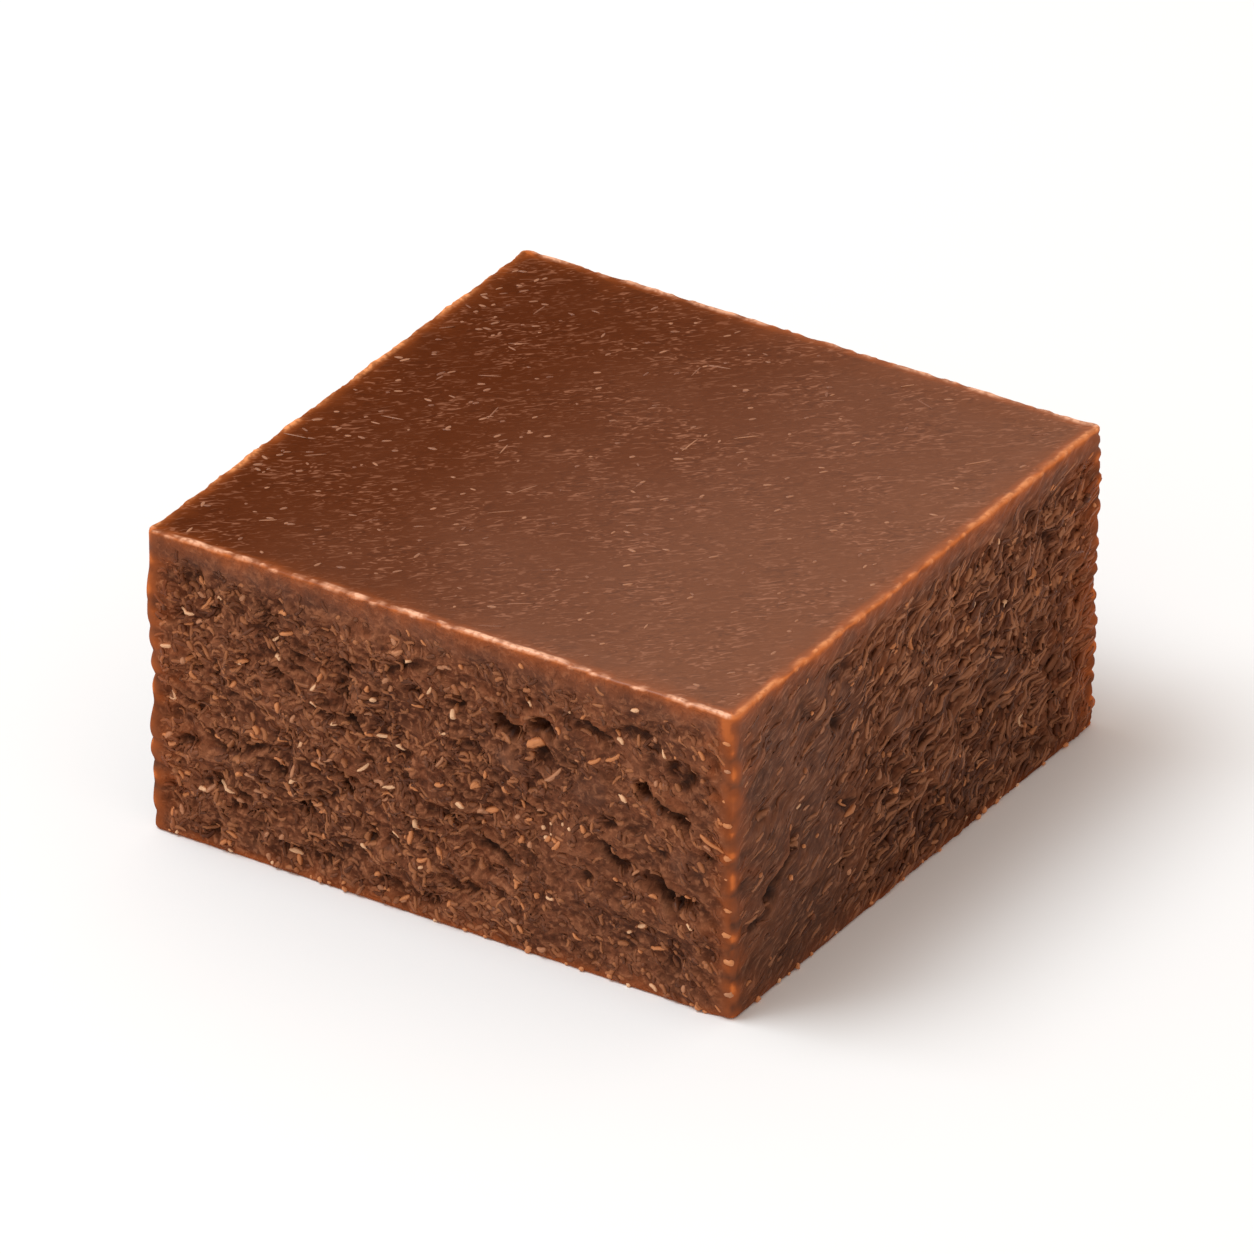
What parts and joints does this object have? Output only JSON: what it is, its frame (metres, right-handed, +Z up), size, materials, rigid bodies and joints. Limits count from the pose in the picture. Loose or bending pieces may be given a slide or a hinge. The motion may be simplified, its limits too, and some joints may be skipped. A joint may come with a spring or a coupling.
{
  "type": "fudge cube",
  "caption": "Square piece of dark chocolate fudge, half as high as it is wide, with a smooth satin top, knife-cut crumbly sides, short cracks and toothed corners.",
  "frame": {"origin": "middle of the flat underside, where the piece rests", "axes": "+Z up through the smooth top, -Y and +X towards the two cut sides with the longest cracks"},
  "size_m": [0.041, 0.0408, 0.02],
  "materials": {
    "fudge": "satin on the poured top, matt and crumbly on the cut sides"
  },
  "bodies": {
    "root": {"fudge_piece": "fudge"}
  },
  "joints": []
}
